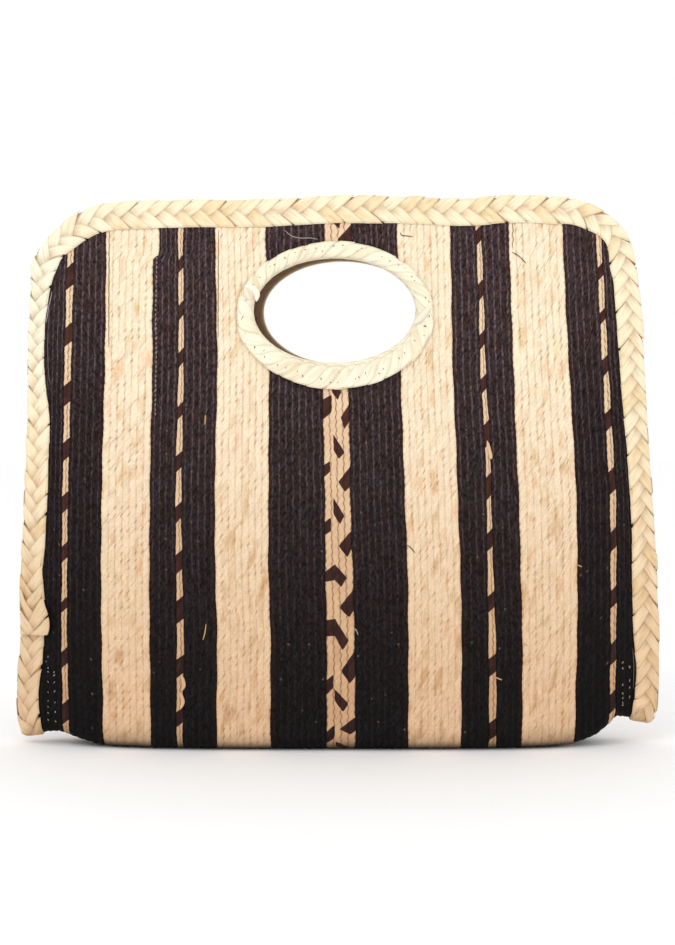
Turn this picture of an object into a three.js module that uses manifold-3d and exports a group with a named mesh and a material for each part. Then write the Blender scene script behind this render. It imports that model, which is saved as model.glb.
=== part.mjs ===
// Straw tote bag that stands on its own base. Rows of plait are sewn side by side into striped
// bands, the cloth is folded once under the base, one flat braid is sewn round its whole edge,
// and a folded braid ring covers the cut edge of each hand hole.
// Millimetres, +Z up, the front faces -Y, the origin lies under the middle of the base.
import * as THREE from 'three';
import { mergeVertices } from 'three/addons/utils/BufferGeometryUtils.js';
import Module from 'manifold-3d';

const wasm = await Module();
wasm.setup();

// Straw cloth
const clothThickness = 2;
const pieceGap = 0.3;
const seamHalfDepth = 2.15;
const rimOpening = 7.15;
const baseOpening = 32.85;
const fullnessPower = 4;
const foldRadius = 12;
const foldFlat = 0.4;
const foldSteps = 3;
const innerFoldShare = 0.6;
const topTaper = 0.04;
const topLean = -3;
const blockReach = 220;
const wideSpan = 13;
const sideSpan = 5.5;
const sideStart = 112;

// Edge braid
const braidThickness = 2.4;
const braidGap = 0.42;
const braidWidth = 16;
const braidAcross = 3;
const edgeOverCloth = 2.5;
const braidOverlap = { top: 80, bottom: 68, width: 20 };
const turnSteps = 3;

// Hand holes, with the ring's opening and its outer edge as two ellipses
const opening = { x: -1.8, z: 268.3, halfWidth: 49.8, halfHeight: 32.3 };
const ringEdge = { x: -1.5, z: 265.5, halfWidth: 60, halfHeight: 44.9 };
const backHoleShift = 5;
const ringWeb = 2.4;
const ringSteps = 44;

// Wall of the bag by height: share of the way out from rim to base, how far out the two walls meet
// in the side seams, and share of the lean at the top
const wallRows = [
  { z: 32, out: 1, reach: 197.5, rise: 0 },
  { z: 96, out: 0.86, reach: 195.9, rise: 0 },
  { z: 179, out: 0.64, reach: 192.8, rise: 0 },
  { z: 262, out: 0.36, reach: 191.7, rise: 0.5 },
  { z: 345, out: 0, reach: 191.7, rise: 1 },
];

// Height of the underside along the bag, with the tucked corners lifted off the ground
const liftRows = [
  { x: -199, z: 5.3 },
  { x: -174, z: 7.4 },
  { x: -168, z: 6.3 },
  { x: -159, z: 3.4 },
  { x: -150, z: 0.9 },
  { x: -138, z: 0 },
  { x: 128, z: 0 },
  { x: 142, z: 1 },
  { x: 151, z: 2.8 },
  { x: 160, z: 6 },
  { x: 169, z: 13 },
  { x: 174, z: 17 },
  { x: 182, z: 16 },
  { x: 199, z: 12.5 },
];

// Outer edge of the braid up the two sides, and its width on the left, where it was drawn narrower
const sideRows = [
  { z: 32, left: -200, leftWidth: 14, right: 199.6 },
  { z: 64, left: -199.2, leftWidth: 14, right: 200 },
  { z: 96, left: -198.2, leftWidth: 17.5, right: 199.4 },
  { z: 137, left: -196.5, leftWidth: 15, right: 197.8 },
  { z: 179, left: -194.6, leftWidth: 13.8, right: 195.2 },
  { z: 220, left: -193.4, leftWidth: 13, right: 192.4 },
  { z: 262, left: -191.6, leftWidth: 12.5, right: 189.2 },
];

// Rounded top corners, and the slack waves of the top edge between them
const leftCorner = { x: -137.4, z: 283, radius: 52.2 };
const rightCorner = { x: 135, z: 287.5, radius: 51.2 };
const cornerSteps = 7;
const topRows = [
  { x: -95, z: 336.6 },
  { x: -51, z: 336.6 },
  { x: -5, z: 339 },
  { x: 33, z: 339 },
  { x: 80, z: 337.6 },
  { x: 116, z: 339.7 },
];

// Striped bands from left to right, each up to its right edge at half height, and where it is parted
const bandRows = [
  { name: 'black_band_1', straw: 'black', to: -170.4, parted: 'base' },
  { name: 'dashed_row_1', straw: 'dashed', to: -165.8, parted: 'nowhere' },
  { name: 'black_band_2', straw: 'black', to: -145.7, parted: 'base' },
  { name: 'pale_band_1', straw: 'pale', to: -115.2, parted: 'folds' },
  { name: 'black_band_3', straw: 'black', to: -99.9, parted: 'folds' },
  { name: 'dashed_row_2', straw: 'dashed', to: -95.7, parted: 'folds' },
  { name: 'black_band_4', straw: 'black', to: -75.2, parted: 'folds' },
  { name: 'pale_band_2', straw: 'pale', to: -42.3, parted: 'folds' },
  { name: 'black_band_5', straw: 'black', to: -8.4, parted: 'hole' },
  { name: 'zigzag_band', straw: 'dashed', to: 8.4, parted: 'hole' },
  { name: 'black_band_6', straw: 'black', to: 41.6, parted: 'hole' },
  { name: 'pale_band_3', straw: 'pale', to: 74.2, parted: 'folds' },
  { name: 'black_band_7', straw: 'black', to: 91.2, parted: 'folds' },
  { name: 'dashed_row_3', straw: 'dashed', to: 95.4, parted: 'folds' },
  { name: 'black_band_8', straw: 'black', to: 111, parted: 'folds' },
  { name: 'pale_band_4', straw: 'pale', to: 146.3, parted: 'folds' },
  { name: 'black_band_9', straw: 'black', to: 167.4, parted: 'base' },
  { name: 'dashed_row_4', straw: 'dashed', to: 171.8, parted: 'nowhere' },
  { name: 'black_band_10', straw: 'black', to: 199, parted: 'base' },
];
const firstBandEdge = -199;

// Folded braid over the hole's edge: share of the ring's width, or a fixed inset, and height off mid cloth
const ringRows = [
  { share: 1, off: 3.3 },
  { share: 0.72, off: 3.9 },
  { share: 0.3, off: 3.7 },
  { share: 0.09, off: 2.7 },
  { share: 0, off: 1.1 },
  { share: 0, off: -1.1 },
  { share: 0.09, off: -2.7 },
  { share: 0.3, off: -3.7 },
  { share: 0.72, off: -3.9 },
  { share: 1, off: -3.3 },
  { share: 1, off: -clothThickness / 2 - pieceGap },
  { inset: ringWeb, off: -clothThickness / 2 - pieceGap },
  { inset: ringWeb, off: clothThickness / 2 + pieceGap },
  { share: 1, off: clothThickness / 2 + pieceGap },
];

const straw = {
  black: new THREE.MeshStandardMaterial({ color: '#35292a', roughness: 0.62, metalness: 0 }),
  pale: new THREE.MeshStandardMaterial({ color: '#f0d7b0', roughness: 0.7, metalness: 0 }),
  dashed: new THREE.MeshStandardMaterial({ color: '#d9b98c', roughness: 0.7, metalness: 0 }),
  braid: new THREE.MeshStandardMaterial({ color: '#f5e4c0', roughness: 0.66, metalness: 0 }),
};

// Column of a table between its rows, which run upwards in the key
function lookUp(rows, key, at, column) {
  let i = 1;
  while (i < rows.length - 1 && rows[i][key] < at) i += 1;
  const share = THREE.MathUtils.clamp((at - rows[i - 1][key]) / (rows[i][key] - rows[i - 1][key]), 0, 1);
  return THREE.MathUtils.lerp(rows[i - 1][column], rows[i][column], share);
}

// Half depth of the bag outside the cloth, at a row across the bag and a height of the wall
function halfDepth(row, { out, reach }) {
  const full = 1 - Math.min(Math.abs(row) / reach, 1) ** fullnessPower;
  return seamHalfDepth + full * THREE.MathUtils.lerp(rimOpening, baseOpening, out);
}

// Half depth of the bag outside the cloth at a point of the front view
function wallDepth(x, z) {
  const rise = lookUp(wallRows, 'z', z, 'rise');
  const row = (x - topLean * rise) / (1 - topTaper * rise);
  const depths = wallRows.map((stop) => ({ z: stop.z, half: halfDepth(row, stop) }));
  return lookUp(depths, 'z', z, 'half');
}

// Point of the rounded fold under the wall: turn 0 at the wall, a quarter turn at the flat base
function foldPoint(row, turn, inset) {
  const half = halfDepth(row, wallRows[0]);
  const base = half - inset;
  const outerFold = Math.min(foldRadius, half - foldFlat);
  const radius = inset > 0 ? Math.max(outerFold - inset, innerFoldShare * base) : outerFold - inset;
  const floor = lookUp(liftRows, 'x', row, 'z') + inset;
  const y = -(base - radius) - radius * Math.cos(turn);
  return new THREE.Vector3(row, y, floor + radius - radius * Math.sin(turn));
}

function mirrorToBack(point) {
  return new THREE.Vector3(point.x, -point.y, point.z);
}

// One face of the cloth at a row across the bag, from the front rim under the base to the back rim
function clothSection(row, inset) {
  const front = [...wallRows].reverse().map(({ z, out, reach, rise }) => {
    const x = row * (1 - topTaper * rise) + topLean * rise;
    return new THREE.Vector3(x, inset - halfDepth(row, { out, reach }), z);
  });
  for (let step = 0; step <= foldSteps; step += 1) {
    front.push(foldPoint(row, (step / foldSteps) * Math.PI * 0.5, inset));
  }
  return [...front, ...front.map(mirrorToBack).reverse()];
}

// Solid skinned over closed sections of equal count; an open run gets flat ends
function loft(sections, closed) {
  const count = sections[0].length;
  const faces = [];
  const runs = closed ? sections.length : sections.length - 1;
  for (let s = 0; s < runs; s += 1) {
    const here = s * count;
    const next = ((s + 1) % sections.length) * count;
    for (let i = 0; i < count; i += 1) {
      const j = (i + 1) % count;
      faces.push(here + i, here + j, next + j, here + i, next + j, next + i);
    }
  }
  if (!closed) {
    const last = (sections.length - 1) * count;
    for (let i = 0; i < count / 2 - 1; i += 1) {
      const k = count - 1 - i;
      faces.push(last + i, last + i + 1, last + k - 1, last + i, last + k - 1, last + k);
      faces.push(i, k - 1, i + 1, i, k, k - 1);
    }
  }
  const points = sections.flat();
  let volume = 0;
  for (let f = 0; f < faces.length; f += 3) {
    const [a, b, c] = [points[faces[f]], points[faces[f + 1]], points[faces[f + 2]]];
    volume += a.dot(new THREE.Vector3().crossVectors(b, c));
  }
  const geometry = new THREE.BufferGeometry().setFromPoints(points);
  geometry.setIndex(volume < 0 ? faces.reverse() : faces);
  return geometry;
}

function toSolid(geometry) {
  const bare = geometry.clone();
  bare.deleteAttribute('normal');
  bare.deleteAttribute('uv');
  const merged = mergeVertices(bare);
  const vertProperties = Float32Array.from(merged.attributes.position.array);
  const triVerts = Uint32Array.from(merged.index.array);
  return new wasm.Manifold(new wasm.Mesh({ numProp: 3, vertProperties, triVerts }));
}

function toGeometry(solid) {
  const { vertProperties, triVerts } = solid.getMesh();
  const geometry = new THREE.BufferGeometry();
  geometry.setAttribute('position', new THREE.BufferAttribute(vertProperties, 3));
  geometry.setIndex(new THREE.BufferAttribute(triVerts, 1));
  return geometry;
}

// Block that cuts along Y: an outline of the front view, drawn from one depth to another
function cutter(outline, fromY, toY) {
  const shape = new THREE.Shape(outline);
  const geometry = new THREE.ExtrudeGeometry(shape, { depth: toY - fromY, bevelEnabled: false });
  geometry.rotateX(Math.PI / 2);
  geometry.translate(0, toY, 0);
  return toSolid(geometry);
}

// Line along the bag's edge in the front view, from the left foot over the top to the right foot,
// a distance and a share of the braid's width inside its outer edge
function edgeLine(distance, braidShare) {
  const line = [];
  const add = (x, z, inX, inZ, width) => {
    const inset = distance + braidShare * width;
    line.push(new THREE.Vector2(x + inX * inset, z + inZ * inset));
  };
  const addCorner = ({ x, z, radius }, angles, widths) => {
    for (let step = 0; step <= cornerSteps; step += 1) {
      const angle = THREE.MathUtils.lerp(...angles, step / cornerSteps);
      const width = THREE.MathUtils.lerp(...widths, step / cornerSteps);
      const [inX, inZ] = [-Math.cos(angle), -Math.sin(angle)];
      add(x - radius * inX, z - radius * inZ, inX, inZ, width);
    }
  };
  sideRows.forEach(({ z, left, leftWidth }) => add(left, z, 1, 0, leftWidth));
  addCorner(leftCorner, [Math.PI, Math.PI / 2], [sideRows.at(-1).leftWidth, braidWidth]);
  topRows.forEach(({ x, z }) => add(x, z, 0, -1, braidWidth));
  addCorner(rightCorner, [Math.PI / 2, 0], [braidWidth, braidWidth]);
  [...sideRows].reverse().forEach(({ z, right }) => add(right, z, -1, 0, braidWidth));
  return line;
}

// Point of the ring in the front view, a distance out from its opening or a share of its width
function ringPoint(angle, { share, inset }, shift) {
  const onEllipse = ({ x, z, halfWidth, halfHeight }) =>
    new THREE.Vector2(x + shift + halfWidth * Math.cos(angle), z + halfHeight * Math.sin(angle));
  const inner = onEllipse(opening);
  const outer = onEllipse(ringEdge);
  return inner.lerp(outer, share ?? inset / inner.distanceTo(outer));
}

function aroundRing(make) {
  return Array.from({ length: ringSteps }, (_, step) => make((step / ringSteps) * Math.PI * 2));
}

function holeCutter(side) {
  const shift = side > 0 ? backHoleShift : 0;
  const outline = aroundRing((angle) => ringPoint(angle, { inset: ringWeb + pieceGap }, shift));
  const reach = side * (baseOpening + foldRadius);
  return cutter(outline, Math.min(0, reach), Math.max(0, reach));
}

function handleRing(side) {
  const shift = side > 0 ? backHoleShift : 0;
  const sections = aroundRing((angle) => ringRows.map((row) => {
    const { x, y: z } = ringPoint(angle, row, shift);
    return new THREE.Vector3(x, side * (wallDepth(x, z) - clothThickness / 2 + row.off), z);
  }));
  return loft(sections, true);
}

// Closed section of the braid, from where its points lie across its width and off the cloth
function braidSection(place, raise) {
  const under = braidGap + raise;
  const shares = Array.from({ length: braidAcross + 1 }, (_, step) => step / braidAcross);
  const outside = shares.map((share) => place(share, under + braidThickness));
  const inside = shares.map((share) => place(share, under));
  return [...outside, ...inside.reverse()];
}

// Braid lying on a wall, between points of its outer and inner edge
function onWall(outer, inner, side) {
  return (share, off) => {
    const { x, y: z } = outer.clone().lerp(inner, share);
    return new THREE.Vector3(x, side * (wallDepth(x, z) + off), z);
  };
}

// Braid turning under a bottom corner, at an angle down from the wall of one side
function underFold(outer, inner, turn, side) {
  return (share, off) => {
    const point = foldPoint(THREE.MathUtils.lerp(outer.x, inner.x, share), turn, -off);
    return side < 0 ? point : mirrorToBack(point);
  };
}

// One braid round the whole edge: over the front, under the right corner, back over the back wall
// and under the left corner, where its beginning lies over its end
function edgeBraid() {
  const outerLine = edgeLine(0, 0);
  const innerLine = edgeLine(0, 1);
  const sections = [];
  const wallStop = (i, side) => {
    sections.push(braidSection(onWall(outerLine[i], innerLine[i], side), 0));
  };
  const leftStop = (z, width, raise) => {
    const left = lookUp(sideRows, 'z', z, 'left');
    const outer = new THREE.Vector2(left, z);
    const inner = new THREE.Vector2(left + width, z);
    sections.push(braidSection(onWall(outer, inner, -1), raise));
  };
  const turnUnder = (i, fromSide) => {
    for (let step = 0; step <= turnSteps; step += 1) {
      const turn = (step / turnSteps) * Math.PI * 0.5;
      sections.push(braidSection(underFold(outerLine[i], innerLine[i], turn, fromSide), 0));
    }
    for (let step = turnSteps; step >= 0; step -= 1) {
      const turn = (step / turnSteps) * Math.PI * 0.5;
      sections.push(braidSection(underFold(outerLine[i], innerLine[i], turn, -fromSide), 0));
    }
  };
  const last = outerLine.length - 1;
  const raised = braidThickness + pieceGap;
  const firstAbove = sideRows.findIndex(({ z }) => z > braidOverlap.top);
  leftStop(braidOverlap.bottom, braidOverlap.width, raised);
  leftStop(braidOverlap.top, braidOverlap.width, raised);
  for (let i = firstAbove; i <= last; i += 1) wallStop(i, -1);
  turnUnder(last, -1);
  for (let i = last; i >= 0; i -= 1) wallStop(i, 1);
  turnUnder(0, 1);
  wallStop(0, -1);
  wallStop(firstAbove - 1, -1);
  leftStop(braidOverlap.top, sideRows[firstAbove - 1].leftWidth, 0);
  return loft(sections, false);
}

// Stations across a band, closer together where the sides curve in
function stationsAcross(from, to) {
  const span = Math.max(Math.abs(from), Math.abs(to)) > sideStart ? sideSpan : wideSpan;
  const count = Math.max(1, Math.ceil((to - from) / span));
  return Array.from({ length: count + 1 }, (_, i) => THREE.MathUtils.lerp(from, to, i / count));
}

const bag = new THREE.Group();

function addPiece(name, geometry, material) {
  const mesh = new THREE.Mesh(geometry, material);
  mesh.name = name;
  bag.add(mesh);
}

// Bands of plaited rows, trimmed to the cloth's edge and cut out round the hand holes
const deep = baseOpening + foldRadius;
const clothEdge = edgeLine(edgeOverCloth, 0);
clothEdge.push(new THREE.Vector2(clothEdge.at(-1).x, -foldRadius));
clothEdge.unshift(new THREE.Vector2(clothEdge[0].x, -foldRadius));
const trim = cutter(clothEdge, -deep, deep);
const frontHole = holeCutter(-1);
const backHole = holeCutter(1);

// Block right across the bag, between two depths and two heights
function block(fromY, toY, fromZ, toZ) {
  const box = new THREE.BoxGeometry(2 * blockReach, toY - fromY, toZ - fromZ);
  box.translate(0, (fromY + toY) / 2, (fromZ + toZ) / 2);
  return toSolid(box);
}

// Lengths that a band is parted into: walls and base at the folds, two halves under the base where the
// walls come together, and wall tops above a hand hole
const high = wallRows.at(-1).z + foldRadius;
const low = -foldRadius;
const half = pieceGap / 2;
const wallFoot = wallRows[0].z + half;
const baseLength = block(-deep, deep, low, wallRows[0].z - half);
const partings = {
  nowhere: { '': block(-deep, deep, low, high) },
  base: { _front: block(-deep, -half, low, high), _back: block(half, deep, low, high) },
  folds: {
    _front: block(-deep, 0, wallFoot, high),
    _base: baseLength,
    _back: block(0, deep, wallFoot, high),
  },
  hole: {
    _front: block(-deep, 0, wallFoot, opening.z),
    _front_top: block(-deep, 0, opening.z, high),
    _base: baseLength,
    _back: block(0, deep, wallFoot, opening.z),
    _back_top: block(0, deep, opening.z, high),
  },
};

let from = firstBandEdge;
bandRows.forEach(({ name, straw: kind, to, parted }) => {
  const sections = stationsAcross(from + half, to - half).map((row) => [
    ...clothSection(row, 0),
    ...clothSection(row, clothThickness).reverse(),
  ]);
  const whole = toSolid(loft(sections, false)).intersect(trim).subtract(frontHole).subtract(backHole);
  Object.entries(partings[parted]).forEach(([length, space]) => {
    addPiece(name + length, toGeometry(whole.intersect(space)), straw[kind]);
  });
  from = to;
});

addPiece('edge_braid', edgeBraid(), straw.braid);
addPiece('front_handle_ring', handleRing(-1), straw.braid);
addPiece('back_handle_ring', handleRing(1), straw.braid);

export default bag;
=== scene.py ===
import math

import bmesh
import bpy
import numpy as np
from mathutils import Matrix


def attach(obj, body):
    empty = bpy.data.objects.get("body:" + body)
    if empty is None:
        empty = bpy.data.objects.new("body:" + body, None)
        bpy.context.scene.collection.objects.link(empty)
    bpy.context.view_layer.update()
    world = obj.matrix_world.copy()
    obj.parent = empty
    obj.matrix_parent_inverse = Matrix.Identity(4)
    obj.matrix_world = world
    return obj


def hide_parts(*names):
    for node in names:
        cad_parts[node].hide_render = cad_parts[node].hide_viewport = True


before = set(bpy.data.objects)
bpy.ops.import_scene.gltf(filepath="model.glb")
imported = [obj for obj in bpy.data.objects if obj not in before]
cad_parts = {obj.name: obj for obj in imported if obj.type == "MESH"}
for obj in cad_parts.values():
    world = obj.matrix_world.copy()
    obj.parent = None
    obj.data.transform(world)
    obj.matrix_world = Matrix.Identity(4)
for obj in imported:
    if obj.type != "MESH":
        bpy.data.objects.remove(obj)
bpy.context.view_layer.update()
scene = bpy.context.scene
luck = np.random.default_rng(7)
mm = 0.001


class Settings(dict):  # a dictionary whose values are also read as names
    __getattr__ = dict.__getitem__


# Shape of the straw cloth, in millimetres
cloth = Settings(
    thick=2.0, seamHalf=2.15, rimOpen=7.15, baseOpen=32.85, fullness=4,
    fold=12.0, foldFlat=0.4, innerFold=0.6, taper=0.04, lean=-3.0, edgeInset=2.5,
    footIn=2.6, footUnder=2.8,  # how far the feet draw in, and in underneath
    wallFoot=32.0, cornerFrom=262,  # heights where the walls and the corners begin
    rowEnd=325.0, leftEnd=318.0, rightEnd=322.0)  # heights where rows and the side bands end
wallZ = [32, 96, 179, 262, 345]
wallOut = [1, 0.86, 0.64, 0.36, 0]
wallReach = [196.8, 194.4, 190.5, 190.5, 190.5]  # where front and back meet in the side seams
wallRise = [0, 0, 0, 0.5, 1]
liftX = [-199, -174, -168, -159, -150, -138, 128, 142, 151, 160, 169, 174, 182, 199]
liftZ = [5.3, 7.4, 6.3, 3.4, 0.9, 0, 0, 1, 2.8, 6, 13, 17, 16, 12.5]

# Outer edge of the braid as seen from the front
sideZ = [32, 48, 58, 96, 137, 179, 220, 262]
leftX = [-200, -199, -197.8, -197.6, -195.4, -193.5, -192.1, -191.4]
rightX = [199.9, 200.4, 200.6, 199.4, 197.2, 193.8, 191.2, 189.2]
rightWide = [15.6, 14.8, 16.2, 16.8, 15.2, 14.5, 15.6, 16.8]
wideZ = [32, 40, 48, 56, 66, 96, 107, 120, 137, 150, 179, 205, 220, 235, 262]
leftWide = [14.5, 15, 16, 15.6, 15.5, 15.9, 14.3, 15, 15, 15.2, 14.8, 14.2, 11.6, 10.2, 10.3]
leftCorner = Settings(x=-137.4, z=283, radius=52.2)
rightCorner = Settings(x=135, z=287.5, radius=51.2)
topX = [-137.4, -95, -51, -5, 33, 80, 116, 135]
topZ = [335.2, 336.6, 336.6, 339, 339, 337.6, 339.7, 338.7]

# Hand holes
opening = Settings(x=-1.8, z=268.3, wide=49.8, high=32.3)
ringEdge = Settings(x=-1.5, z=265.5, wide=60, high=44.9)
backShift = 5  # the back hole lies this far to the right
holeHem = 6  # cloth is cut back this far round a hole


def smooth(at, xs, ys):  # soft curve through a short table
    xs, ys = np.asarray(xs, float), np.asarray(ys, float)
    slope = np.gradient(ys, xs)
    i = np.clip(np.searchsorted(xs, at) - 1, 0, len(xs) - 2)
    gap = xs[i + 1] - xs[i]
    t = np.clip((at - xs[i]) / gap, 0, 1)
    return ((1 + 2 * t) * (1 - t) ** 2 * ys[i] + t * (1 - t) ** 2 * gap * slope[i]
            + t * t * (3 - 2 * t) * ys[i + 1] + t * t * (t - 1) * gap * slope[i + 1])


def ease(low, high, at):
    t = np.clip((at - low) / (high - low), 0, 1)
    return t * t * (3 - 2 * t)


def halfDepth(row, z):  # half the bag's depth at a row and a height
    full = 1 - np.minimum(np.abs(row) / smooth(z, wallZ, wallReach), 1) ** cloth.fullness
    spread = cloth.rimOpen + (cloth.baseOpen - cloth.rimOpen) * smooth(z, wallZ, wallOut)
    return cloth.seamHalf + full * spread


def rowToX(row, z):
    rise = smooth(z, wallZ, wallRise)
    return row * (1 - cloth.taper * rise) + cloth.lean * rise


def xToRow(x, z):
    rise = smooth(z, wallZ, wallRise)
    return (x - cloth.lean * rise) / (1 - cloth.taper * rise)


def wallDepth(x, z):
    return halfDepth(xToRow(x, z), z)


def foldShape(row, inset):  # half flat, radius and floor of the base fold
    half = halfDepth(row, np.full(len(row), cloth.wallFoot))
    base = half - inset
    outer = np.minimum(cloth.fold, half - cloth.foldFlat)
    radius = outer - inset
    if inset > 0:
        radius = np.maximum(radius, cloth.innerFold * base)
    return base - radius, radius, np.interp(row, liftX, liftZ) + inset


def unit(vectors):
    return vectors / np.maximum(np.linalg.norm(vectors, axis=-1, keepdims=True), 1e-9)


def clothTop(x):  # height of the cloth's edge over a point
    flat = smooth(x, topX, topZ) - cloth.edgeInset
    for corner, side in ((leftCorner, -1), (rightCorner, 1)):
        away = np.maximum(side * (x - corner.x), 0)
        reach = corner.radius - cloth.edgeInset
        arc = corner.z + np.sqrt(np.maximum(reach ** 2 - away ** 2, 1))
        flat = np.where(away > 0, np.minimum(flat, arc), flat)
    return flat


def sideEdge(z, side):  # where the cloth ends up a side
    corner = leftCorner if side < 0 else rightCorner
    reach = corner.radius - cloth.edgeInset
    straight = smooth(z, sideZ, leftX if side < 0 else rightX) - side * cloth.edgeInset
    up = np.clip(z - corner.z, 0, reach - 1)
    arc = corner.x + side * np.sqrt(reach ** 2 - up ** 2)
    share = ease(cloth.cornerFrom, corner.z, z)
    return straight * (1 - share) + arc * share


def ovalPoint(oval, angle, shift):
    return oval.x + shift + oval.wide * np.cos(angle), oval.z + oval.high * np.sin(angle)


def ringPoint(angle, share, shift):  # between a hole's opening and its ring's edge
    inX, inZ = ovalPoint(opening, angle, shift)
    outX, outZ = ovalPoint(ringEdge, angle, shift)
    return inX + (outX - inX) * share, inZ + (outZ - inZ) * share


# Small pieces are laid out flat in a line, given a thickness there, and then put in place
layoutGap = 10.0


def spotOf(k):
    return Matrix.Translation((layoutGap * k, 0, 0))


def whichSpot(flat):  # number of each point's piece, and x within it
    k = np.round(flat[:, 0] / layoutGap).astype(int)
    return k, flat[:, 0] - layoutGap * k


def ballRow(count):
    bm = bmesh.new()
    for k in range(count):
        bmesh.ops.create_icosphere(bm, subdivisions=1, radius=1.0, matrix=spotOf(k))
    return bm


def isUnder(flat):  # points of the underside
    return flat[:, 2] < -0.1


def addGrid(bm, along, across, spot=Matrix(), size=1.0):
    return bmesh.ops.create_grid(bm, x_segments=along, y_segments=across, size=size, matrix=spot)


def thicken(bm, faces):
    bmesh.ops.solidify(bm, geom=faces, thickness=0.5)


def meshOf(bm, name, material):
    mesh = bpy.data.meshes.new(name)
    bm.to_mesh(mesh)
    bm.free()
    mesh.materials.append(material)
    return mesh


def addToScene(name, data):
    obj = bpy.data.objects.new(name, data)
    scene.collection.objects.link(obj)
    return obj


def readAll(items, key, kind=np.float32, each=1):
    values = np.empty(len(items) * each, kind)
    items.foreach_get(key, values)
    return values


def addObject(bm, name, material, points):  # a bmesh as an object, with its points put in place
    mesh = meshOf(bm, name, material)
    normal = readAll(mesh.polygons, "normal", each=3)
    mesh.polygons.foreach_set("use_smooth", np.abs(normal[2::3]) > 0.4)  # cut sides stay crisp
    flat = readAll(mesh.vertices, "co", each=3)
    placed = points(flat.reshape(-1, 3).astype(float)) * mm
    mesh.vertices.foreach_set("co", placed.astype(np.float32).ravel())
    mesh.update()
    obj = addToScene(name, mesh)
    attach(obj, "root")
    return obj


def cornersOf(obj):  # the vertex at each corner of each face
    return readAll(obj.data.loops, "vertex_index", np.int32)


def addUv(obj, name, perCorner):
    layer = obj.data.uv_layers.new(name=name)
    layer.data.foreach_set("uv", perCorner.astype(np.float32).ravel())


def addValue(obj, name, perVertex):
    layer = obj.data.attributes.new(name, "FLOAT", "POINT")
    layer.data.foreach_set("value", perVertex.astype(np.float32))


def mathMethod(operation, flip=False):  # a method of Wire for one kind of sum
    def method(self, *other):
        values = [*other, self] if flip else [self, *other]
        return Wire.node("Math", {"operation": operation}, **{f"i{k}": v for k, v in enumerate(values)})

    return method


class Wire:  # a socket of the material being wired
    tree = None

    def __init__(self, socket):
        self.socket = socket

    @classmethod
    def feed(cls, slot, value):  # a wire or a fixed value into an input
        if isinstance(value, Wire):
            cls.tree.links.new(value.socket, slot)
        else:
            slot.default_value = value

    @classmethod
    def node(cls, kind, settings=None, out=0, **inputs):  # i0, i1 and so on name inputs by number
        made = cls.tree.nodes.new("ShaderNode" + kind)
        for key, value in (settings or {}).items():
            setattr(made, key, value)
        for key, value in inputs.items():
            cls.feed(made.inputs[int(key[1:]) if key[1:].isdigit() else key], value)
        return cls(made.outputs[out])

    __add__ = __radd__ = mathMethod("ADD")
    __sub__ = mathMethod("SUBTRACT")
    __rsub__ = mathMethod("SUBTRACT", flip=True)
    __mul__ = __rmul__ = mathMethod("MULTIPLY")
    __truediv__ = mathMethod("DIVIDE")
    floor = mathMethod("FLOOR")
    fract = mathMethod("FRACT")
    size = mathMethod("ABSOLUTE")
    wave = mathMethod("SINE")

    def span(self, low, high, toLow=0.0, toHigh=1.0):  # soft step from one level to another
        return Wire.node("MapRange", {"interpolation_type": "SMOOTHSTEP"},
                         Value=self, i1=low, i2=high, i3=toLow, i4=toHigh)

    def tint(self, first, second):  # blend two colours by this value
        return Wire.node("Mix", {"data_type": "RGBA"}, out=2, i0=self, i6=first, i7=second)

    def stain(self, share, *screen):  # this colour, a share of the way to a screen colour
        return share.tint(self, shadeOf(*screen))

    def dim(self, value):  # this colour times a value
        grey = Wire.node("CombineColor", Red=value, Green=value, Blue=value)
        settings = {"data_type": "RGBA", "blend_type": "MULTIPLY"}
        return Wire.node("Mix", settings, out=2, i0=1.0, i6=self, i7=grey)


def vector(x, y, z=0.0):
    return Wire.node("CombineXYZ", X=x, Y=y, Z=z)


def axes(of):
    return [Wire.node("SeparateXYZ", out=k, Vector=of) for k in range(3)]


def position():  # place on the bag, in metres
    return Wire.node("TexCoord", out=3)


def attribute(name):
    return Wire.node("Attribute", {"attribute_name": name}, out=2)


def noise(at, scale, detail=2.0, rough=0.5):
    return Wire.node("TexNoise", Vector=at, Scale=scale, Detail=detail, Roughness=rough)


def chance(x, y, z):  # one random number for each cell
    return Wire.node("TexWhiteNoise", {"noise_dimensions": "3D"}, Vector=vector(x, y, z))


def shadeOf(*screen):  # screen colour to light
    shares = [c / 255 for c in screen]
    return (*[v / 12.92 if v <= 0.04045 else ((v + 0.055) / 1.055) ** 2.4 for v in shares], 1)


def ramp(at, *stops):
    made = Wire.node("ValToRGB", Fac=at)
    elements = made.socket.node.color_ramp.elements
    while len(elements) < len(stops):
        elements.new(0.5)
    for element, (share, *screen) in zip(elements, stops):
        element.position = share
        element.color = shadeOf(*screen)
    return made


def makeMaterial(name, look, *values):  # a look gives colour, roughness, shine and normal
    material = bpy.data.materials.new(name)
    material.use_nodes = True
    Wire.tree = material.node_tree
    inputs = material.node_tree.nodes["Principled BSDF"].inputs
    for key, value in zip(("Base Color", "Roughness", "Specular IOR Level", "Normal"), look(*values)):
        Wire.feed(inputs[key], value)
    return material


# Plaited straw: u counts rows, v counts strands along a row
plait = Settings(
    pitch=4.7, lean=1.24, run=3.4, rowsPer=4.17, columns=3, step=1.5, wallLength=366,
    ridge=0.3, strand=0.24, paleStrand=0.45, pressed=0.3, inside=0.6, seamShift=0.4,
    golden=0.618034, second=0.7549, tickLean=1.15,  # shifts from row to row
    mirror=1000, rimHeight=0.34)


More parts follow.
